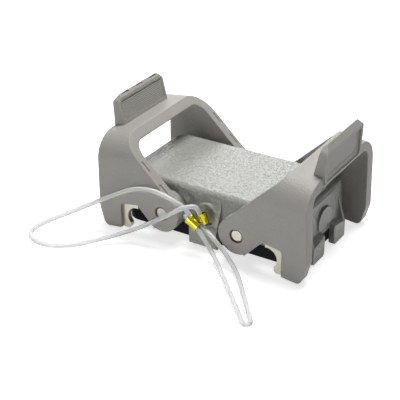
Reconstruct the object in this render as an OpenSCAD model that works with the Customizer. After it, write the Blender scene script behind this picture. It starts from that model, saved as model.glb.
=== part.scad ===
// Protection cover of a rectangular heavy-duty connector, with two locking levers and a retaining cord.
// Millimetres, +Z up, X along the cover. The origin is on the table, under the middle of the cover.

/* [Cover body] */
// Length of the casting at its lower edge
body_l = 80.4; // [78:0.2:84]
// Width of the casting at its lower edge
body_w = 43; // [41:0.5:46]
// Height of the casting's lower edge above the table
rim_z = 8; // [7.6:0.1:8.6]
// Height of the flat top above the table
top_z = 24; // [23:0.1:24.4]
// Inward lean of each wall, from lower edge to top
wall_draft = 1.1; // [0.8:0.1:1.4]
// Thickness of the cast walls
wall = 3; // [2.6:0.1:3.4]
// Radius of the upright corners
corner_r = 7; // [6:0.5:8]
// Radius along the edges of the top
edge_r = 2.2; // [1.6:0.1:2.6]

/* [Lugs] */
// How far the legs of the end lugs stand out from the casting
end_lug_out = 2.4; // [2:0.1:2.8]
// Width of the end lugs across their two legs
end_lug_w = 27.6; // [26:0.2:30]
// Width of the slot between the two legs of an end lug
end_slot_w = 8.4; // [8.2:0.1:9]
// Height of the legs' front edges beside the slot
leg_z = 8.7; // [8.4:0.1:9.2]
// Fall of those edges towards the outside
leg_fall = 1.6; // [1:0.1:2]
// Slope of the legs' tops, up to the wall
leg_slope = 38; // [32:1:44]
// Height of the thin fins above the legs
fin_z = 17.4; // [16:0.1:18.5]
// Thickness of those fins
fin_t = 1.2; // [0.9:0.1:1.5]
// Width of the raised column on each end
column_w = 20.4; // [18:0.2:22]
// How far that column stands out from the casting
column_out = 0.2; // [0.1:0.05:0.3]
// Diameter of the round pad on each column
end_pad_d = 12; // [10:0.2:13]
// Height of the round pad's centre above the table
end_pad_z = 12.75; // [12:0.05:13.5]
// How far the round pad stands out from the casting's lower edge
end_pad_out = 0.45; // [0.35:0.05:0.7]
// How far the feet of the side lugs stand out from the casting
side_lug_out = 3.8; // [3.4:0.1:4.2]
// Width of the side lugs
side_lug_w = 12.4; // [11.8:0.1:13]
// Height of the underside of the side lugs above the table
side_lug_z = 1.6; // [1:0.1:2.2]
// Diameter of the spot face on each side lug
side_pad_d = 8.6; // [7.6:0.1:9.2]
// Height of the spot face's centre above the table
side_pad_z = 14.8; // [14.2:0.1:15.2]
// How far the spot face stands out from the casting's lower edge
side_pad_out = 0.7; // [0.5:0.1:0.9]

/* [Seal] */
// Height of the sealing face above the table
seal_z = 2.3; // [1.8:0.1:3]
// Inset of the seal's outside from the casting's lower edge
seal_inset = 0.3; // [0.2:0.1:0.8]
// Width of the seal's sealing face
seal_w = 4.6; // [4:0.1:5.6]
// Height of the lip that grips the inside of the casting
seal_lip_h = 3; // [2:0.1:5]
// Thickness of that lip
seal_lip_t = 1.4; // [1:0.1:2]

/* [Pivots] */
// Distance of the pivot pins from the end of the casting
pin_inset = 23.2; // [22.2:0.1:24.2]
// Height of the pivot pins above the table
pin_z = 13.2; // [13.1:0.05:13.8]
// Diameter of the pivot pins
pin_d = 4.4; // [3.6:0.1:5]
// Radial running clearance of the lever bores on the pins
pin_fit = 0.05; // [0.03:0.01:0.09]
// Depth to which a pin is pressed into its boss
pin_embed = 4.2; // [3.2:0.1:4.4]
// Depth of the pin's end below the face of the lever
pin_recess = 0.5; // [0.2:0.1:1]
// Diameter of the counterbore round the pin's end
counterbore_d = 5.8; // [5.2:0.1:7]
// Depth of that counterbore
counterbore_h = 2; // [1:0.1:2.4]
// Diameter of the pivot bosses
boss_d = 14.4; // [13:0.2:15.2]
// How far the bosses stand out from the casting
boss_out = 2; // [1.4:0.1:2.6]

/* [Levers] */
// Play between boss and lever arm
arm_play = 0.3; // [0.2:0.05:0.6]
// Thickness of the lever arms
arm_t = 4.7; // [4.3:0.1:5.4]
// Thickness of the crossbar
bar_t = 3.6; // [3.2:0.1:4.4]
// Height of the crossbar's top above the pins, square to it
bar_h = 30.4; // [29:0.2:34]
// Outer radius where the arms turn into the crossbar
bail_r = 10; // [7.5:0.5:12]
// Slope of the crossbar, down towards the grip
bar_slope = 8; // [4:1:12]
// Radius of the lobe round the pivot
lobe_r = 7.8; // [7.4:0.1:8.4]
// Angle of the arms' inner edge to the table
edge_angle = 43.8; // [41:0.2:47]
// Reach of the arms' outer edge from the pin
arm_reach = 29.9; // [29:0.1:32]
// Lean of the outer edge towards the crossbar
arm_lean = 0.7; // [0:0.1:2]
// Drop of the hook's toe below the pin
toe_drop = 12.8; // [12:0.1:13]
// Reach of the hook's toe from the pin
toe_reach = 27.6; // [26.6:0.1:28.4]
// Rise of the hook's underside from the toe to the slot
toe_rise = 1; // [0.6:0.1:1.4]
// Reach of the hook slot's outer wall from the pin
slot_reach = 19.5; // [19:0.1:20.5]
// Reach of the slot's inner end from the pin
slot_in = 11.4; // [11:0.1:11.8]
// Rise of that end above the pin
slot_rise = 0.7; // [0.4:0.1:1]
// Drop of the slot's upper outer corner below the pin
slot_drop = 0.8; // [0.5:0.1:1.1]
// Drop of the knee in the outer edge below the pin
knee_drop = 4.2; // [3.6:0.1:4.8]
// Length of the slim marks in the arms' inner edges
mark_l = 5; // [3:0.5:6]
// Width of those marks
mark_w = 0.9; // [0.6:0.1:1.2]
// Depth of those marks
mark_h = 0.3; // [0.2:0.05:0.6]
// Distance of the marks from the outer face of the arm
mark_set = 1.8; // [1.2:0.1:2.4]

/* [Grip] */
// Width of the grip
grip_w = 31; // [28:0.5:34]
// Reach of the grip's ribbed face from the pin, at its foot
grip_reach = 25.2; // [24.4:0.1:26]
// Rise of the ribbed face's upper edge above the pin
grip_rise = 38; // [36:0.2:42]
// Lean of the ribbed face over the grip's height
grip_lean = 2.4; // [1.6:0.1:3]
// Thickness of the grip below its bevels
grip_t = 2.8; // [2.4:0.1:3.2]
// Reach of the ridge on top from the ribbed face
ridge_reach = 1.2; // [1:0.1:1.5]
// Rise of that ridge over the ribbed face
ridge_rise = 1.2; // [0.9:0.1:1.5]
// Fall of the bevel from the ridge to the outer face
bevel_fall = 2.7; // [2:0.1:3.2]
// How far the grip stands out from the arms' outer edges
grip_step = 0.6; // [0.4:0.1:1]
// Chamfer of the grip's upper corners
grip_chamfer = 3; // [2:0.1:4]
// Number of ribs on the grip
rib_count = 11; // [8:1:13]
// Depth of the grooves between the ribs
rib_depth = 0.4; // [0.25:0.05:0.5]
// Plain border beside the ribs
rib_border = 1.3; // [1:0.1:2]
// Depth of the plain panel in the grip's outer face
panel_depth = 0.7; // [0.4:0.1:0.9]
// Width of the border round that panel
panel_border = 1.5; // [1.1:0.1:2]
// Radius of the panel's corners
panel_r = 1.6; // [1:0.1:2.4]
// Length of the three pockets in the grip's top
notch_l = 4.4; // [3:0.1:5]
// Width of those pockets
notch_w = 0.9; // [0.7:0.05:1]
// Depth of those pockets
notch_h = 0.5; // [0.3:0.1:0.6]

/* [Hook plates] */
// Thickness of the stamped hook plates
plate_t = 2.2; // [1.8:0.1:2.6]
// Depth of the plates below the outer face of the arm
plate_set = 1.3; // [1:0.1:1.6]
// Radius of the peg seat in the plates
seat_r = 4.4; // [4:0.1:4.6]
// Reach of the peg seat's centre from the pin
seat_reach = 12.6; // [12.2:0.1:13]
// Drop of the peg seat's centre below the pin
seat_drop = 6.2; // [5.8:0.1:6.6]
// Reach of the plate's nose from the pin
nose_reach = 15.7; // [15.3:0.1:16]
// How far the plates reach into the arm from the slot
plate_grip = 3.6; // [3:0.1:5]

/* [Cord] */
// Diameter of the clear cord
cord_d = 1.8; // [1.5:0.1:2]
// Length of the crimp ferrule
ferrule_l = 5.6; // [5:0.1:6]
// Outer diameter of the ferrule's main barrel
ferrule_d = 4.2; // [4:0.1:4.6]
// Length of the ferrule's second barrel
ferrule_l2 = 3.8; // [3.2:0.1:4.4]
// Outer diameter of the ferrule's second barrel
ferrule_d2 = 3; // [2.8:0.1:3.2]

/* [Hidden] */
$fn = 64;

// Colours as the piece is seen
cast_grey = "#9b9b98";
lever_grey = "#918f8b";
rubber_black = "#1c1c1c";
steel = "#cfcabb";
brass = "#c9a227";
clear_cord = "#e4e6e6";

// Overlap that makes two shapes of one piece run into each other
bite = 0.5;
// Clearance between the feet of the lugs and the seal
foot_gap = 0.3;

// The casting's half sizes and its places up the side
half_l = body_l / 2;
half_w = body_w / 2;
pin_x = half_l - pin_inset;
boss_y = half_w + boss_out;
arm_in = boss_y + arm_play;
arm_out = arm_in + arm_t;
seal_l = body_l - 2 * seal_inset;
seal_width = body_w - 2 * seal_inset;
cavity_top = top_z - wall;
end_face = half_l + end_lug_out;
side_face = half_w + side_lug_out;

// How far the walls have leant in at height z, and where that leaves them
function lean(z) = wall_draft * (z - rim_z) / (top_z - rim_z);
function side_at(z) = half_w - lean(z);
function end_at(z) = half_l - lean(z);

// A polygon's outline with its corners rounded: each point is [x, y, radius]
function unit(v) = v / norm(v);
function fillet(a, b, c, r, steps = 6) =
  let (to_a = unit(a - b), to_c = unit(c - b),
       half = acos(to_a * to_c) / 2,
       centre = b + unit(to_a + to_c) * r / sin(half),
       from = b + to_a * r / tan(half) - centre,
       to = b + to_c * r / tan(half) - centre,
       start = atan2(from[1], from[0]),
       sweep = (atan2(to[1], to[0]) - start + 540) % 360 - 180)
  [for (k = [0 : steps]) centre + r * [cos(start + sweep * k / steps), sin(start + sweep * k / steps)]];
function xy(p) = [p[0], p[1]];
function rounded(points) = let (n = len(points))
  [for (i = [0 : n - 1]) each points[i][2] == 0 ? [xy(points[i])] :
    fillet(xy(points[(i + n - 1) % n]), xy(points[i]), xy(points[(i + 1) % n]), points[i][2])];

// Profiles drawn in the XZ or YZ plane and carried across the piece
module along_y(width) { rotate([90, 0, 0]) linear_extrude(width, center = true) children(); }
module along_x(from, to) {
  translate([from, 0, 0]) rotate([90, 0, 90]) linear_extrude(to - from) children();
}
module both_x() { children(); mirror([1, 0, 0]) children(); }
module both_y() { children(); mirror([0, 1, 0]) children(); }

module rounded_plan(l, w, r) {
  square([l - 2 * r, w], center = true);
  square([l, w - 2 * r], center = true);
  for (x = [-1, 1], y = [-1, 1]) translate([x * (l / 2 - r), y * (w / 2 - r)]) circle(r);
}

// The cap's form: a long block and a wide block with leaning walls, and a turned post in each corner
module cap_form(inset, from, top, r) {
  post_x = half_l - corner_r;
  post_y = half_w - corner_r;
  module section(reach) {
    polygon(rounded([[lean(from) - reach, from, 0], [reach - lean(from), from, 0],
      [reach - lean(top), top, r], [lean(top) - reach, top, r]]));
  }
  along_x(-post_x, post_x) section(half_w - inset);
  along_y(2 * post_y) section(half_l - inset);
  for (x = [-1, 1], y = [-1, 1]) translate([x * post_x, y * post_y, 0]) rotate_extrude()
    polygon(rounded([[0, from, 0], [corner_r - inset - lean(from), from, 0],
      [corner_r - inset - lean(top), top, r], [0, top, 0]]));
}

// Lug at the end of the cap: two legs with a fin over each, and a raised column with a round pad
leg_edge_r = 0.4;
leg_back_r = 1.2;
leg_side_r = 1.9;
column_bevel = [0.7, 0.9];
// Depth to which the lugs run into the wall, short of its inside
root = wall - 0.2;
end_root = half_l - root;
module end_lug() {
  lug_half = end_lug_w / 2;
  slot_half = end_slot_w / 2;
  foot_in = half_l + foot_gap - seal_inset;
  fall_angle = atan2(leg_fall, lug_half - slot_half);
  both_y() {
    difference() {
      intersection() {
        along_x(end_root, end_face) polygon(rounded([[slot_half, 0, leg_side_r], [lug_half, 0, leg_back_r],
          [lug_half, 2 * leg_z, 0], [slot_half, 2 * leg_z, 0]]));
        along_y(2 * end_lug_w) polygon(rounded([[end_root, rim_z, 0], [foot_in, rim_z, 0],
          [foot_in, 0, leg_back_r], [end_face, 0, leg_edge_r], [end_face, 2 * leg_z, 0],
          [end_root, 2 * leg_z, 0]]));
      }
      translate([end_face, slot_half, leg_z]) rotate([-fall_angle, 0, 0]) rotate([0, leg_slope, 0])
        translate([-end_lug_w, -lug_half, 0]) cube([2 * end_lug_w, 2 * end_lug_w, end_lug_w]);
    }
    translate([0, lug_half - fin_t / 2, 0]) along_y(fin_t) polygon([[end_root, rim_z],
      [end_face, leg_z - leg_fall - leg_edge_r], [end_at(fin_z), fin_z], [end_root, fin_z]]);
  }
  column_z = top_z - edge_r + column_out;
  column_top = [end_at(column_z), column_z] + [-column_bevel[0], column_bevel[1]];
  along_y(column_w) polygon([[end_root, rim_z], [half_l + column_out, rim_z],
    [end_at(column_z) + column_out, column_z], column_top, [end_root, column_top[1]]]);
  along_x(end_root, half_l + end_pad_out) intersection() {
    translate([0, end_pad_z]) circle(d = end_pad_d);
    translate([-end_pad_d, rim_z]) square(2 * end_pad_d);
  }
}

// Lug in the middle of a long side: a flared column with a round spot face
side_pad_y = half_w + side_pad_out;
side_bend = 3.3;
side_bend_r = 1.5;
side_shelf = 1.1;
side_shelf_r = 2;
side_step = [0.1, 0.45];
pad_flare = 1;
pad_deep = 1.8;
pad_gap = 0.1;
module side_lug() {
  lug_z = top_z - edge_r;
  bend_z = lug_z - side_bend;
  side_root = half_w - root;
  foot_in = half_w + foot_gap - seal_inset;
  difference() {
    union() {
      along_x(-side_lug_w / 2, side_lug_w / 2) polygon(rounded([[side_root, lug_z, 0],
        [side_at(lug_z) + side_step[0], lug_z, 0], [side_at(bend_z) + side_step[1], bend_z, side_bend_r],
        [side_face, rim_z + side_shelf, side_shelf_r], [side_face, side_lug_z, leg_back_r],
        [foot_in, side_lug_z, leg_edge_r], [foot_in, rim_z, 0], [side_root, rim_z, 0]]));
      translate([0, side_pad_y, side_pad_z]) rotate([90, 0, 0])
        cylinder(d1 = side_pad_d, d2 = side_pad_d + 2 * pad_flare, h = pad_deep);
    }
    translate([0, side_face + 1, side_pad_z]) rotate([90, 0, 0])
      cylinder(d = side_pad_d + 2 * pad_gap, h = side_face + 1 - side_pad_y);
  }
}

// Eye for the cord: a bore into the left flank of the front lug, below its spot face
eye_drop = 0.4;
eye_z = side_pad_z - side_pad_d / 2 - cord_d / 2 - eye_drop;
eye_y = (half_w + side_face) / 2;
module cord_eye() {
  translate([-side_lug_w / 2 - 1, -eye_y, eye_z]) rotate([0, 90, 0])
    cylinder(d = cord_d, h = side_lug_w / 2);
}

// What stands at each of the four pivots, from the face of its boss inwards
module at_bosses() { both_y() both_x() translate([pin_x, boss_y, pin_z]) rotate([90, 0, 0]) children(); }

module cover_body() {
  color(cast_grey) difference() {
    union() {
      difference() {
        union() {
          cap_form(0, rim_z, top_z, edge_r);
          at_bosses() cylinder(d = boss_d, h = boss_out + wall);
        }
        cap_form(wall, rim_z - bite, cavity_top, edge_r / 2);
        translate([-half_l, -half_w, 0]) cube([body_l, body_w, rim_z]);
      }
      both_x() end_lug();
      both_y() side_lug();
    }
    at_bosses() translate([0, 0, -1]) cylinder(d = pin_d, h = pin_embed + 1);
    cord_eye();
  }
}

// Rubber ring under the casting, with a lip that grips the inside of the wall
module rim_seal() {
  lip_fit = 0.05;
  lip_out = wall + lip_fit;
  color(rubber_black) difference() {
    union() {
      translate([0, 0, seal_z]) linear_extrude(rim_z - seal_z)
        rounded_plan(seal_l, seal_width, corner_r - seal_inset);
      cap_form(lip_out, rim_z - bite, rim_z + seal_lip_h, 0);
    }
    translate([0, 0, seal_z - 1]) linear_extrude(rim_z - seal_z + 1)
      rounded_plan(seal_l - 2 * seal_w, seal_width - 2 * seal_w, corner_r - seal_inset - seal_w);
    translate([0, 0, rim_z - bite]) linear_extrude(seal_lip_h + 2 * bite)
      rounded_plan(body_l - 2 * lip_out - 2 * seal_lip_t, body_w - 2 * lip_out - 2 * seal_lip_t,
        corner_r - lip_out - seal_lip_t);
  }
}

// Side outline of a lever arm, about its pin: lobe, inner edge, outer edge, hook and slot
inner_normal = [-sin(edge_angle), cos(edge_angle)];
inner_along = [cos(edge_angle), sin(edge_angle)];
edge_start = (lobe_r - 0.2) * inner_normal;
mouth_angle = -47.5;
knee_r = 6;
toe_r = 2.5;
slot_r = 1.2;
slot_edge_r = 0.5;
module arm_outline() {
  near = edge_start - inner_along * 0.1 * lobe_r;
  far = edge_start + inner_along * 1.4 * bar_h;
  mouth = lobe_r * [cos(mouth_angle), sin(mouth_angle)];
  lip = mouth - 0.3 * ([slot_in, slot_rise] - mouth);
  circle(lobe_r);
  polygon(rounded([[near[0], near[1], 0], [far[0], far[1], 0], [arm_reach - arm_lean, far[1], 0],
    [arm_reach, -knee_drop, knee_r], [toe_reach, -toe_drop, toe_r],
    [slot_reach, toe_rise - toe_drop, slot_edge_r], [slot_reach, -slot_drop, slot_r],
    [slot_in, slot_rise, slot_edge_r], [lip[0], lip[1], 0], [0, 0, 0]]));
}

// Cross section of the bail: two arms joined by the crossbar, with rounded shoulders
module shoulder_form(half, top, r) {
  depth = 2 * bar_h;
  translate([-half, top - depth]) square([2 * half, depth - r]);
  translate([-half + r, top - depth]) square([2 * half - 2 * r, depth]);
  for (s = [-1, 1]) translate([s * (half - r), top - r]) circle(r);
}
module bail() {
  intersection() {
    rotate([0, bar_slope, 0]) along_x(-2 * lobe_r, 1.5 * bar_h) difference() {
      shoulder_form(arm_out, bar_h, bail_r);
      shoulder_form(arm_in, bar_h - bar_t, bail_r - arm_t);
    }
    along_y(3 * arm_out) arm_outline();
  }
}

// Grip on the crossbar: a leaning plate, ribbed inside, with a plain panel outside and pockets in its top
grip_foot = bar_h / cos(bar_slope) - grip_reach * tan(bar_slope);
grip_out = arm_reach - arm_lean + grip_step;
grip_edge_r = 0.2;
crease_r = 0.5;
chamfer_r = 2;
rib_set = 0.15;
notch_rim = 0.3;
module grip() {
  foot = [grip_reach, grip_foot];
  ribbed_top = [grip_reach + grip_lean, grip_rise];
  ridge = ribbed_top + [ridge_reach, ridge_rise];
  crease = ribbed_top + [grip_t, ridge_rise - bevel_fall];
  outer_foot = [grip_out, grip_foot - bar_t];
  crest = ridge[1] + grip_edge_r;
  grip_half = grip_w / 2;
  rib_up = unit(ribbed_top - foot);
  rib_in = [rib_up[1], -rib_up[0]];
  rib_l = norm(ribbed_top - foot) - 2 * rib_border;
  rib_pitch = rib_l / rib_count;
  function on_rib(along, deep) = foot + (rib_border + along) * rib_up + deep * rib_in;
  face_angle = atan2(crease[1] - outer_foot[1], crease[0] - outer_foot[0]);
  face_h = norm(crease - outer_foot);
  panel_h = face_h - panel_border;
  notch_at = norm([ridge_reach, ridge_rise]) - notch_w - notch_rim;
  notch_pitch = 0.31 * grip_w;
  difference() {
    intersection() {
      along_y(grip_w) polygon(rounded([[grip_reach - grip_edge_r, grip_foot - bite, 0],
        [grip_out, outer_foot[1], 0], [crease[0], crease[1], crease_r], [ridge[0], ridge[1], grip_edge_r],
        [ribbed_top[0], ribbed_top[1], grip_edge_r]]));
      along_x(0, 2 * grip_out) polygon(rounded([[-grip_half, 0, 0], [grip_half, 0, 0],
        [grip_half, crest - grip_chamfer, chamfer_r], [grip_half - grip_chamfer, crest, chamfer_r],
        [grip_chamfer - grip_half, crest, chamfer_r], [-grip_half, crest - grip_chamfer, chamfer_r]]));
    }
    along_y(grip_w - 2 * rib_border) polygon(concat([on_rib(0, -1), on_rib(0, rib_set + rib_depth)],
      [for (k = [0 : rib_count - 1]) each [on_rib((k + 0.5) * rib_pitch, rib_set),
        on_rib((k + 1) * rib_pitch, rib_set + rib_depth)]], [on_rib(rib_l, -1)]));
    translate([outer_foot[0], 0, outer_foot[1]]) rotate([0, -face_angle, 0])
      translate([face_h / 2, 0, -1]) linear_extrude(panel_depth + 1)
        rounded_plan(panel_h, grip_w - 2 * panel_border, panel_r);
    for (y = [-1, 0, 1]) translate([ribbed_top[0], y * notch_pitch - notch_l / 2, ribbed_top[1]])
      rotate([0, -atan2(ridge_rise, ridge_reach), 0]) translate([notch_at, 0, -notch_h])
        cube([notch_w, notch_l, 2 * notch_h]);
  }
}

// Outline of a stamped hook plate, about the pin: cam edge, peg seat and the part held in the arm
nose_r = 0.9;
plate_lip = 0.6;
module plate_outline() {
  plate_in = slot_in + bite;
  plate_out = slot_reach + plate_grip;
  plate_top = slot_rise + plate_grip;
  plate_foot = toe_rise - toe_drop;
  difference() {
    polygon(rounded([[plate_in, plate_top, 0], [plate_in, seat_r / 2 - seat_drop, 0],
      [nose_reach, -seat_r / 2 - seat_drop, 0], [nose_reach, plate_foot + nose_r, nose_r],
      [nose_reach + nose_r, plate_foot, slot_edge_r], [slot_reach - plate_lip, plate_foot, 0],
      [plate_out, plate_foot + plate_grip / 2, nose_r], [plate_out, plate_top, slot_r]]));
    translate([seat_reach, -seat_drop]) circle(seat_r);
  }
}
module plate() {
  translate([0, arm_out - plate_set - plate_t / 2, 0]) along_y(plate_t) plate_outline();
}

// One lever, with its pin on the Y axis and its grip towards +X
module lever() {
  marks = [6.5, 18];
  difference() {
    union() { bail(); grip(); }
    both_y() {
      translate([0, arm_in - 1, 0]) rotate([-90, 0, 0]) cylinder(r = pin_d / 2 + pin_fit, h = arm_t + 2);
      translate([0, arm_out - counterbore_h, 0]) rotate([-90, 0, 0])
        cylinder(d = counterbore_d, h = counterbore_h + 1);
      plate();
      for (s = marks) translate([edge_start[0], arm_out - mark_set, edge_start[1]])
        rotate([0, -edge_angle, 0]) translate([s - mark_l / 2, -mark_w / 2, -mark_h])
          cube([mark_l, mark_w, 2 * mark_h]);
    }
  }
}

module at_pin(side) { mirror([side < 0 ? 1 : 0, 0, 0]) translate([pin_x, 0, pin_z]) children(); }
module right_lever() { color(lever_grey) at_pin(1) lever(); }
module left_lever() { color(lever_grey) at_pin(-1) lever(); }

module hook_plate(side, face) { color(steel) at_pin(side) mirror([0, face < 0 ? 1 : 0, 0]) plate(); }
module left_front_plate() { hook_plate(-1, -1); }
module left_rear_plate() { hook_plate(-1, 1); }
module right_front_plate() { hook_plate(1, -1); }
module right_rear_plate() { hook_plate(1, 1); }

module pivot_pin(side, face) {
  color(steel) at_pin(side) mirror([0, face < 0 ? 1 : 0, 0]) translate([0, boss_y - pin_embed, 0])
    rotate([-90, 0, 0]) cylinder(d = pin_d, h = arm_out - pin_recess - boss_y + pin_embed);
}
module left_front_pin() { pivot_pin(-1, -1); }
module left_rear_pin() { pivot_pin(-1, 1); }
module right_front_pin() { pivot_pin(1, -1); }
module right_rear_pin() { pivot_pin(1, 1); }

// Ferrule: two crimped barrels joined by a saddle, lying against the front lug
ferrule_at = [-2.5, -side_face - ferrule_d / 2, 13.2];
second_at = [1.8, -side_face - ferrule_d2 / 2, 15.9];
ferrule_turn = 121.4;
second_turn = 156;
module barrel(at, turn, d, l) { translate(at) rotate([0, turn, 0]) cylinder(d = d, h = l, center = true); }
module crimp_ferrule() {
  span = second_at - ferrule_at;
  color(brass) {
    barrel(ferrule_at, ferrule_turn, ferrule_d, ferrule_l);
    barrel(second_at, second_turn, ferrule_d2, ferrule_l2);
    translate((ferrule_at + second_at) / 2) rotate([0, -atan2(span[2], span[0]), 0])
      cube([norm(span), ferrule_d2 * 0.6, ferrule_l2 * 0.8], center = true);
  }
}

// Cord routes, measured from the front lug's face in Y and from the table in Z
cord_origin = [0, -side_face, 0];
left_route = [[-2.9, -2.3, 14.4], [-6, -3.5, 19.2], [-10.4, -4.9, 22], [-17.6, -5.9, 24.2],
  [-24.5, -6.3, 23.7], [-31.5, -6.5, 20.9], [-44.2, -7.6, 13.5], [-51.8, -11.6, 9.5], [-58.8, -18.8, 6.6],
  [-63.8, -23.4, 3.8], [-65, -26.2, 1.9], [-62.4, -28.4, 1.2], [-57, -29.6, 1.2], [-49.6, -27.4, 1.2],
  [-41.6, -20.4, 1.5], [-26.9, -9.2, 6], [-14.3, -6.5, 13.8], [-6.4, -6.2, 19.6], [-2.3, -5.5, 21.6],
  [-0.4, -3.6, 20.9], [0.2, -1.9, 17.4]];
right_route = [[-1.7, -1.1, 13.2], [0.6, -1.6, 11.9], [5.5, -3.4, 10.7], [13, -5.4, 6.4],
  [18.5, -7.6, 2.6], [23.9, -12.6, 1.4], [34, -25, 1.2], [39.6, -32, 1.2], [41.2, -34.5, 1.2],
  [40.3, -36.4, 1.2], [38.3, -35.4, 1.2], [35, -31.9, 1.2], [22.6, -18.9, 1.2], [8.6, -6, 3.8],
  [1.4, -4, 10.7], [-1.5, -3.2, 13]];
anchor_route = [[-4.4, -2.1, 14.4], [-6.4, -1.6, 14.6], [-7.5, 0.2, 12.8],
  [-6, side_face - eye_y, eye_z], [-3.6, side_face - eye_y, eye_z]];

// A smooth path through a route, and a cord swept along it
function between(a, b, c, d, t) = 0.5 * (2 * b + (c - a) * t + (2 * a - 5 * b + 4 * c - d) * t * t
  + (3 * b - a - 3 * c + d) * t * t * t);
function smooth(route) = let (last = len(route) - 1)
  [for (i = [0 : last], t = i < last ? [0, 0.5] : [0])
    between(route[max(i - 1, 0)], route[i], route[min(i + 1, last)], route[min(i + 2, last)], t)];
module cord(route) {
  sides = 8;
  path = smooth(route);
  last = len(path) - 1;
  rings = [for (i = [0 : last])
    let (along = unit(path[min(i + 1, last)] - path[max(i - 1, 0)]),
         across = unit(cross(along, [0.1, 0.05, 1])), over = cross(across, along))
    for (k = [0 : sides - 1]) let (turn = 360 * k / sides)
      path[i] + cord_d / 2 * (cos(turn) * across + sin(turn) * over)];
  skin = [for (i = [0 : last - 1], k = [0 : sides - 1])
    let (a = i * sides + k, b = i * sides + (k + 1) % sides)
    each [[a, b, b + sides], [a, b + sides, a + sides]]];
  start_cap = [for (k = [1 : sides - 2]) [0, k + 1, k]];
  end_cap = [for (k = [1 : sides - 2]) [last * sides, last * sides + k, last * sides + k + 1]];
  color(clear_cord) translate(cord_origin) polyhedron(rings, concat(skin, start_cap, end_cap));
}
module left_loop() { cord(left_route); }
module right_loop() { cord(right_route); }
module anchor_loop() { cord(anchor_route); }

cover_body();
rim_seal();
left_lever();
right_lever();
left_front_plate();
left_rear_plate();
right_front_plate();
right_rear_plate();
left_front_pin();
left_rear_pin();
right_front_pin();
right_rear_pin();
crimp_ferrule();
left_loop();
right_loop();
anchor_loop();
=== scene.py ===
"""Looks of a heavy-duty connector cover: a cast cap with two locking levers, standing open on a pale table,
and the clear cord that ties it to its hood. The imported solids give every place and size."""

import math

import bpy
import numpy as np
from mathutils import Matrix, Vector


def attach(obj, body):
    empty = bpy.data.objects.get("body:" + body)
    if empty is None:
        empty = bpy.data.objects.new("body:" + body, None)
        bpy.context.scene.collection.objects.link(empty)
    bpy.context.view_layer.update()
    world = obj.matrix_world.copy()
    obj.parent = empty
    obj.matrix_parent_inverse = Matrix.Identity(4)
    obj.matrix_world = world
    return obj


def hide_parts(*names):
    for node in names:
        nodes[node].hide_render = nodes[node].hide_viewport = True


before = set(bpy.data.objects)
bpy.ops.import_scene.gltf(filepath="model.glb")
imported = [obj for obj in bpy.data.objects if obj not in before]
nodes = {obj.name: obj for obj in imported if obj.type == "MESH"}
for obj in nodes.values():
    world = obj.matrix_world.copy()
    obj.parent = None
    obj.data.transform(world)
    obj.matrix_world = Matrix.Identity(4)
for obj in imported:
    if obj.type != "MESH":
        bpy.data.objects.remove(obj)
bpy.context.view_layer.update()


# Cover: a die-cast aluminium cap, with its lugs and pivot bosses in one piece, powder coated after casting.
# The coat is sprayed on thick and baked, so it flows into a coarse orange peel and rounds the edges.
MM = 0.001
PEEL_SIZE = 1.0 * MM
PEEL_DEPTH = 0.22 * MM
PEEL_SOFT = 0.3
CAST_EDGE = 0.4 * MM
EDGE_SAMPLES = 6


def linear(hex_colour):
    """sRGB hex as linear RGBA: each channel undoes the sRGB curve, (c + 0.055) / 1.055 to the power 2.4."""
    srgb = np.array([int(hex_colour[i:i + 2], 16) for i in (1, 3, 5)]) / 255
    return (*np.where(srgb < 0.04045, srgb / 12.92, ((srgb + 0.055) / 1.055) ** 2.4), 1.0)


def feed(owner, inputs, node=None):
    """Gives the inputs of a node, or of the material's own shader, a value each, or a link where the value is
    another node's output. In an input's name _ is a space, and _0, _1 and so on count the inputs."""
    node = node or owner.node_tree.nodes["Principled BSDF"]
    for name, value in inputs.items():
        socket = node.inputs[int(name[1:]) if name[0] == "_" else name.replace("_", " ")]
        if isinstance(value, bpy.types.NodeSocket):
            owner.node_tree.links.new(value, socket)
        else:
            socket.default_value = value


def add(owner, kind, settings=None, **inputs):
    """Adds one shader node with its settings, and with values and links for its inputs."""
    node = owner.node_tree.nodes.new(kind)
    for name, value in (settings or {}).items():
        setattr(node, name, value)
    feed(owner, inputs, node)
    return node


def surface(name, **inputs):
    """A material of that name, with values for the inputs of its shader."""
    material = bpy.data.materials.new(name)
    material.use_nodes = True
    feed(material, inputs)
    return material


def skin(material, height, depth, edge, pit_hex, peak_hex):
    """Raises a material's surface by depth times a height from 0 to 1, and takes its colour with that from
    the pits to the peaks, over normals that are averaged within a radius of each edge. Returns the colour's
    node, a Mix, whose inputs 6 and 7 are its two colours and whose output 2 is the mixed one."""
    edges = add(material, "ShaderNodeBevel", {"samples": EDGE_SAMPLES}, Radius=edge)
    bump = add(material, "ShaderNodeBump", Strength=1.0, Distance=depth, Height=height,
               Normal=edges.outputs["Normal"])
    colour = add(material, "ShaderNodeMix", {"data_type": "RGBA"}, _0=height,
                 _6=linear(pit_hex), _7=linear(peak_hex))
    feed(material, {"Base_Color": colour.outputs[2], "Normal": bump.outputs["Normal"]})
    return colour


def dress(node, material):
    """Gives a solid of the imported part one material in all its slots."""
    mesh = nodes[node].data
    mesh.materials.clear()
    mesh.materials.append(material)


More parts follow.
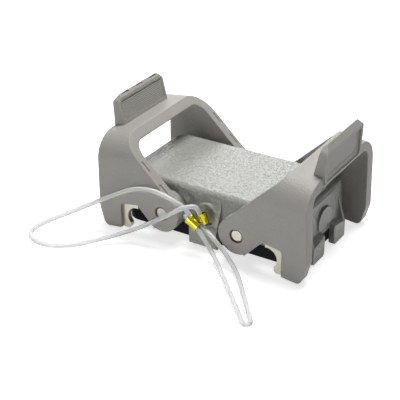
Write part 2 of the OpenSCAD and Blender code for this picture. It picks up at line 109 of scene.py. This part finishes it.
# Glossy paint over an uneven skin: the light breaks into small specks, and the pits between them are painted
# darker, as painted shade.
# The peel is round cells, highest in the middle.
powder_coat = surface("grey_powder_coat", Roughness=0.24, IOR=1.45)
coords = add(powder_coat, "ShaderNodeTexCoord")
cells = add(powder_coat, "ShaderNodeTexVoronoi", {"feature": "SMOOTH_F1"}, Vector=coords.outputs["Object"],
            Scale=1 / PEEL_SIZE, Smoothness=PEEL_SOFT)
peel = add(powder_coat, "ShaderNodeMath", {"operation": "SUBTRACT"}, _0=1.0, _1=cells.outputs["Distance"])
# Painted shade: the colour darkens from each cell's middle to the pits between the cells.
skin(powder_coat, peel.outputs[0], PEEL_DEPTH, CAST_EDGE, "#95968f", "#a7a9a3")
dress("cover_body", powder_coat)


# Rim seal: one ring of black rubber, moulded in a blasted tool and set under the casting's lower edge.
# A lip holds it against the inside of the wall, and its flat face closes on the rim of the hood.
RUBBER_SIZE = 0.8 * MM
RUBBER_DEPTH = 0.1 * MM
SEAL_EDGE = 0.3 * MM

# Matt and almost black, with a dusty bloom that only breaks up the flat colour.
# The grain is drawn coarser than it is so that it shows.
rubber = surface("black_moulded_rubber", Roughness=0.7, Specular_IOR_Level=0.15)
coords = add(rubber, "ShaderNodeTexCoord")
bloom = add(rubber, "ShaderNodeTexNoise", Vector=coords.outputs["Object"], Scale=1 / RUBBER_SIZE)
skin(rubber, bloom.outputs["Fac"], RUBBER_DEPTH, SEAL_EDGE, "#0a0909", "#161515")
dress("rim_seal", rubber)


# Pivot pins and hook plates: the pins are turned steel pressed into the bosses, and the plates are stamped
# from steel strip and set into pockets of the lever arms, where they line the hook slots. Both are plated.
PLATING_SIZE = 0.7 * MM
PLATING_DEPTH = 0.02 * MM
STEEL_EDGE = 0.15 * MM

# Satin metal with a warm cast from the plating, faintly clouded.
# The clouds are drawn coarser than they are so that they show.
plated_steel = surface("plated_steel", Roughness=0.38, Metallic=0.8)
coords = add(plated_steel, "ShaderNodeTexCoord")
clouds = add(plated_steel, "ShaderNodeTexNoise", Vector=coords.outputs["Object"], Scale=1 / PLATING_SIZE)
skin(plated_steel, clouds.outputs["Fac"], PLATING_DEPTH, STEEL_EDGE, "#b9b5a6", "#cdc9bc")
for node in nodes:
    if node.endswith("_pin") or node.endswith("_plate"):
        dress(node, plated_steel)


# Levers: two bails moulded in grey glass-filled nylon, which swing on the pins.
# Their edges are broadly rounded, but for the grip, whose ribs are crisp. All their edges carry a painted
# pale highlight.
GRAIN_SIZE = 0.6 * MM
GRAIN_DEPTH = 0.24 * MM
ARM_EDGE = 0.7 * MM
GRIP_EDGE = 0.06 * MM
GRIP_X = 41.9 * MM
GRIP_Z = 40.3 * MM
FLAT_TURN = 0.985
EDGE_TURN = 0.8
EDGE_HIGHLIGHT = 1.0
HIGHLIGHT_REACH = 0.3 * MM

# Matt plastic with a fine spark-eroded grain, drawn coarser than it is so that it shows.
# The painted edge highlight starts where the cosine between a flat face and its softened edge falls to
# FLAT_TURN, and is full at EDGE_TURN.
lever_plastic = surface("moulded_grey_nylon", Roughness=0.5)
coords = add(lever_plastic, "ShaderNodeTexCoord")
place = add(lever_plastic, "ShaderNodeSeparateXYZ", Vector=coords.outputs["Object"])
out = add(lever_plastic, "ShaderNodeMath", {"operation": "ABSOLUTE"}, _0=place.outputs["X"])
beyond = add(lever_plastic, "ShaderNodeMath", {"operation": "GREATER_THAN"}, _0=out.outputs[0], _1=GRIP_X)
above = add(lever_plastic, "ShaderNodeMath", {"operation": "GREATER_THAN"}, _0=place.outputs["Z"], _1=GRIP_Z)
grip = add(lever_plastic, "ShaderNodeMath", {"operation": "MULTIPLY"}, _0=beyond.outputs[0],
           _1=above.outputs[0])
radius = add(lever_plastic, "ShaderNodeMath", {"operation": "MULTIPLY_ADD"}, _0=grip.outputs[0],
             _1=GRIP_EDGE - ARM_EDGE, _2=ARM_EDGE)
grain = add(lever_plastic, "ShaderNodeTexNoise", Vector=coords.outputs["Object"], Scale=1 / GRAIN_SIZE)
plain = skin(lever_plastic, grain.outputs["Fac"], GRAIN_DEPTH, radius.outputs[0], "#9f9c97", "#adaaa5")
# Painted highlight: near every edge, concave ones too, the colour is mixed towards a pale grey.
facing = add(lever_plastic, "ShaderNodeNewGeometry")
rims = add(lever_plastic, "ShaderNodeBevel", {"samples": EDGE_SAMPLES}, Radius=HIGHLIGHT_REACH)
turn = add(lever_plastic, "ShaderNodeVectorMath", {"operation": "DOT_PRODUCT"}, _0=rims.outputs["Normal"],
           _1=facing.outputs["True Normal"])
painted_highlight = add(lever_plastic, "ShaderNodeMapRange", Value=turn.outputs["Value"], From_Min=FLAT_TURN,
             From_Max=EDGE_TURN, To_Max=EDGE_HIGHLIGHT)
highlighted_colour = add(lever_plastic, "ShaderNodeMix", {"data_type": "RGBA"}, _0=painted_highlight.outputs["Result"],
           _6=plain.outputs[2], _7=linear("#d6d4cd"))
feed(lever_plastic, {"Base_Color": highlighted_colour.outputs[2]})
dress("left_lever", lever_plastic)
dress("right_lever", lever_plastic)


# Crimp: a strip of bright brass sheet, rolled tight round the cords where they meet at the front lug.
# One roll holds the loops, a smaller one the anchor's end, and a narrow web of the strip joins them behind.
LUG_FACE_Y = -25.3 * MM
SHEET_T = 0.3 * MM
SHEET_EDGE = 0.1 * MM
SMUDGE_SIZE = 1.0 * MM
SMUDGE_DEPTH = 0.03 * MM
ROLL_PINCH = 0.07
ROLL_CREASE = math.radians(40)
ARC_POINTS = 29
ROLL_RINGS = 9
MAIN_R = 2.3 * MM
MAIN_LONG = 5.2 * MM
MAIN_AT = np.array([-2.4 * MM, LUG_FACE_Y - MAIN_R, 13.2 * MM])
MAIN_AXIS = (0.854, 0, -0.521)
SECOND_R = 1.5 * MM
SECOND_LONG = 4.2 * MM
SECOND_AT = np.array([2.0 * MM, LUG_FACE_Y - SECOND_R, 16.0 * MM])
SECOND_AXIS = (0.407, 0, -0.914)
WEB_R = 1.2 * MM
WEB_LONG = 3.4 * MM
WEB_AT = (MAIN_AT + SECOND_AT) / 2 + np.array([0, WEB_R, -0.3 * MM])
WEB_AXIS = (0.62, 0, -0.78)


def rolled_sheet(centre, axis, radius, length, start, sweep):
    """Points and quads of a rolled strip: an arc of that outer radius from the start angle over the sweep, in
    degrees, closed by a second arc one sheet inside it, carried along the axis and pinched by a cosine at
    mid length."""
    turn = np.radians(start + sweep * np.linspace(0, 1, ARC_POINTS))
    turns = np.concatenate([turn, turn[::-1]])
    radii = np.repeat([radius, radius - SHEET_T], ARC_POINTS)
    along = np.linspace(-0.5, 0.5, ROLL_RINGS)
    pinch = 1 - ROLL_PINCH * np.cos(np.pi * along) ** 2
    axis = np.array(axis) / np.linalg.norm(axis)
    front = np.array([0.0, -1.0, 0.0])
    over = np.cross(front, axis)
    ring = (np.cos(turns)[:, None] * front + np.sin(turns)[:, None] * over) * radii[:, None]
    points = np.array(centre) + axis * (along * length)[:, None, None] + ring[None] * pinch[:, None, None]
    count = 2 * ARC_POINTS
    i, k = np.meshgrid(np.arange(ROLL_RINGS - 1), np.arange(count), indexing="ij")
    a, b = i * count + k, i * count + (k + 1) % count
    side = np.stack([a, b, b + count, a + count], axis=-1).reshape(-1, 4)
    k = np.arange(ARC_POINTS - 1)
    cap = np.stack([k, count - 1 - k, count - 2 - k, k + 1], axis=-1)
    return points.reshape(-1, 3), np.vstack([side, cap, cap[:, ::-1] + (ROLL_RINGS - 1) * count])


def joined(name, parts):
    """One mesh of several sets of points and quads, smooth but for the creases of the sheet's edges."""
    starts = np.cumsum([0] + [len(points) for points, quads in parts[:-1]])
    mesh = bpy.data.meshes.new(name)
    mesh.from_pydata(np.vstack([points for points, quads in parts]).tolist(), [],
                     np.vstack([quads + start for (points, quads), start in zip(parts, starts)]).tolist())
    mesh.shade_smooth()
    mesh.set_sharp_from_angle(angle=ROLL_CREASE)
    return mesh


crimp_mesh = joined("rolled_crimp", [
    rolled_sheet(MAIN_AT, MAIN_AXIS, MAIN_R, MAIN_LONG, start=-42, sweep=352),
    rolled_sheet(SECOND_AT, SECOND_AXIS, SECOND_R, SECOND_LONG, start=150, sweep=345),
    rolled_sheet(WEB_AT, WEB_AXIS, WEB_R, WEB_LONG, start=20, sweep=140)])

# Bright yellow metal with sharp highlights, clouded a little by handling.
# The smudges are drawn about a millimetre wide so that they show.
brass = surface("bright_rolled_brass", Roughness=0.19, Metallic=1.0)
coords = add(brass, "ShaderNodeTexCoord")
smudges = add(brass, "ShaderNodeTexNoise", Vector=coords.outputs["Object"], Scale=1 / SMUDGE_SIZE)
skin(brass, smudges.outputs["Fac"], SMUDGE_DEPTH, SHEET_EDGE, "#9a891c", "#d8cb44")
crimp_mesh.materials.append(brass)
crimp = bpy.data.objects.new("rolled_crimp", crimp_mesh)
bpy.context.scene.collection.objects.link(crimp)
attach(crimp, "cover")
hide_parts("crimp_ferrule")


# Retaining cord: clear plastic, extruded 1.8 mm thick, which ties the cover to its hood.
# Two free loops lie out to the left and right of the crimp, and a short anchor goes through the lug's eye.
CORD_D = 1.8 * MM
CORD_STEPS = 12
CORD_ROUND = 8
LEFT_ROUTE = [[-2.9, -2.3, 14.4], [-6, -3.5, 19.2], [-10.4, -4.9, 22], [-17.6, -5.9, 24.2],
              [-24.5, -6.3, 23.7], [-31.5, -6.5, 20.9], [-44.2, -7.6, 13.5], [-51.8, -11.6, 9.5],
              [-58.8, -18.8, 6.6], [-63.8, -23.4, 3.8], [-65, -26.2, 1.9], [-62.4, -28.4, 1.2],
              [-57, -29.6, 1.2], [-49.6, -27.4, 1.2], [-41.6, -20.4, 1.5], [-26.9, -9.2, 6],
              [-14.3, -6.5, 13.8], [-6.4, -6.2, 19.6], [-2.3, -5.5, 21.6], [-0.4, -3.6, 20.9],
              [0.2, -1.9, 17.4]]
RIGHT_ROUTE = [[-1.7, -1.1, 13.2], [0.6, -1.6, 11.9], [5.5, -3.4, 10.7], [13, -5.4, 6.4], [18.5, -7.6, 2.6],
               [23.9, -12.6, 1.4], [34, -25, 1.2], [39.6, -32, 1.2], [41.2, -34.5, 1.2], [40.3, -36.4, 1.2],
               [38.3, -35.4, 1.2], [35, -31.9, 1.2], [22.6, -18.9, 1.2], [8.6, -6, 3.8], [1.4, -4, 10.7],
               [-1.5, -3.2, 13]]
ANCHOR_ROUTE = [[-4.4, -2.1, 14.4], [-6.4, -1.6, 14.6], [-7.5, 0.2, 12.8], [-6, 1.9, 9.2], [-3.6, 1.9, 9.2]]


def smooth(route):
    """Catmull-Rom path: between two route points, a cubic that leaves each along the line between its
    neighbours."""
    p = np.array(route, float) * MM + [0, LUG_FACE_Y, 0]
    a, b, c, d = np.vstack([p[:1], p[:-2]]), p[:-1], p[1:], np.vstack([p[2:], p[-1:]])
    t = np.arange(CORD_STEPS)[None, :, None] / CORD_STEPS
    a, b, c, d = (q[:, None, :] for q in (a, b, c, d))
    path = 0.5 * (2 * b + (c - a) * t + (2 * a - 5 * b + 4 * c - d) * t**2 + (3 * b - a - 3 * c + d) * t**3)
    return np.vstack([path.reshape(-1, 3), p[-1:]])


def cord_curve(name, route, node, material):
    """A round cord along the smooth path through a route, in place of its plain solid."""
    path = smooth(route)
    data = bpy.data.curves.new(name, "CURVE")
    data.dimensions = "3D"
    data.bevel_depth = CORD_D / 2
    data.bevel_resolution = CORD_ROUND
    data.use_fill_caps = True
    spline = data.splines.new("POLY")
    spline.points.add(len(path) - 1)
    spline.points.foreach_set("co", np.hstack([path, np.ones((len(path), 1))]).ravel())
    spline.use_smooth = True
    data.materials.append(material)
    piece = bpy.data.objects.new(name, data)
    bpy.context.scene.collection.objects.link(piece)
    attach(piece, "cover")
    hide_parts(node)
    return piece, path


# Slightly milky, so it shows the ground through it and is outlined by darker edges.
clear_plastic = surface("clear_extruded_plastic", Base_Color=linear("#f6f7f6"), Roughness=0.15,
                        Transmission_Weight=0.5, IOR=1.42)
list(cord_curve("left_cord", LEFT_ROUTE, "left_loop", clear_plastic))
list(cord_curve("right_cord", RIGHT_ROUTE, "right_loop", clear_plastic))
cord_curve("anchor_cord", ANCHOR_ROUTE, "anchor_loop", clear_plastic)


# Table and light: a sweep of pale paper under an overhead softbox, with a low one behind on the left, which
# gives the cover's top its gloss, and a low one in front.
# The paper looks white to the lens, in gloss and through clear plastic, and still takes the cover's shadow.
TABLE_HALF = 4000 * MM
TABLE_LIFT = 0.7
WORLD_FILL = 0.015
WORLD_SEEN = 0.5
LIGHT_AIM = (0, 0, 20 * MM)


def seen_level(owner, hidden, seen):
    """Socket of a light level: seen for the lens, gloss and clear plastic, and hidden for all other rays."""
    path = add(owner, "ShaderNodeLightPath")
    lens = add(owner, "ShaderNodeMath", {"operation": "MAXIMUM"}, _0=path.outputs["Is Camera Ray"],
               _1=path.outputs["Is Glossy Ray"])
    either = add(owner, "ShaderNodeMath", {"operation": "MAXIMUM"}, _0=lens.outputs[0],
                 _1=path.outputs["Is Transmission Ray"])
    strength = add(owner, "ShaderNodeMapRange", Value=either.outputs[0], To_Min=hidden, To_Max=seen)
    return strength.outputs["Result"]


def softbox(name, place, size, power):
    """A square area light at a place, turned towards the cover, in metres and watts."""
    data = bpy.data.lights.new(name, "AREA")
    data.size = size
    data.energy = power
    lamp = bpy.data.objects.new(name, data)
    lamp.location = place
    lamp.rotation_euler = (Vector(LIGHT_AIM) - Vector(place)).to_track_quat("-Z", "Y").to_euler()
    bpy.context.scene.collection.objects.link(lamp)


table_mesh = bpy.data.meshes.new("table")
table_mesh.from_pydata([(-TABLE_HALF, -TABLE_HALF, 0), (TABLE_HALF, -TABLE_HALF, 0),
                        (TABLE_HALF, TABLE_HALF, 0), (-TABLE_HALF, TABLE_HALF, 0)], [], [(0, 1, 2, 3)])
table = bpy.data.objects.new("table", table_mesh)
bpy.context.scene.collection.objects.link(table)
paper = surface("white_paper_sweep", Base_Color=linear("#d8d8d8"), Roughness=0.9,
                Emission_Color=linear("#ffffff"))
feed(paper, {"Emission_Strength": seen_level(paper, hidden=0.0, seen=TABLE_LIFT)})
table_mesh.materials.append(paper)

softbox("overhead_box", place=(0.03, 0.1, 0.58), size=0.24, power=3.5)
softbox("rear_box", place=(-0.376, 0.59, 0.384), size=0.4, power=1.7)
softbox("front_box", place=(-0.04, -0.55, 0.06), size=0.2, power=0.9)
world = bpy.data.worlds.new("studio")
world.use_nodes = True
feed(world, {"Color": linear("#ffffff"), "Strength": seen_level(world, hidden=WORLD_FILL, seen=WORLD_SEEN)},
     node=world.node_tree.nodes["Background"])
bpy.context.scene.world = world
bpy.context.scene.view_settings.view_transform = "Standard"


# Camera: a long lens, to the front right of the cover and above it, as the photograph was taken.
# It is fitted to the photograph's edges, so it also carries that picture's slight roll.
PICTURE_PX = 400
CAMERA_TURN = math.radians(32.39)
CAMERA_RISE = math.radians(28.72)
CAMERA_ROLL = math.radians(-0.88)
CAMERA_PX = 1117.1
CAMERA_FAR = 451.46 * MM
CAMERA_NEAR = 10 * MM
CAMERA_SLIDE = (-14.22 * MM, -2.18 * MM)
PIN_HEIGHT = 13.2 * MM

back = np.array([math.sin(CAMERA_TURN) * math.cos(CAMERA_RISE),
                 -math.cos(CAMERA_TURN) * math.cos(CAMERA_RISE), math.sin(CAMERA_RISE)])
level = np.array([math.cos(CAMERA_TURN), math.sin(CAMERA_TURN), 0.0])
upright = np.cross(back, level)
right = level * math.cos(CAMERA_ROLL) + upright * math.sin(CAMERA_ROLL)
up = upright * math.cos(CAMERA_ROLL) - level * math.sin(CAMERA_ROLL)
stand = np.array([0, 0, PIN_HEIGHT]) + back * CAMERA_FAR + right * CAMERA_SLIDE[0] + up * CAMERA_SLIDE[1]
camera_data = bpy.data.cameras.new("camera")
camera_data.lens = CAMERA_PX * camera_data.sensor_width / PICTURE_PX
camera_data.clip_start = CAMERA_NEAR
camera = bpy.data.objects.new("camera", camera_data)
camera.matrix_world = Matrix([[right[i], up[i], back[i], stand[i]] for i in range(3)] + [[0, 0, 0, 1]])
bpy.context.scene.collection.objects.link(camera)
bpy.context.scene.camera = camera
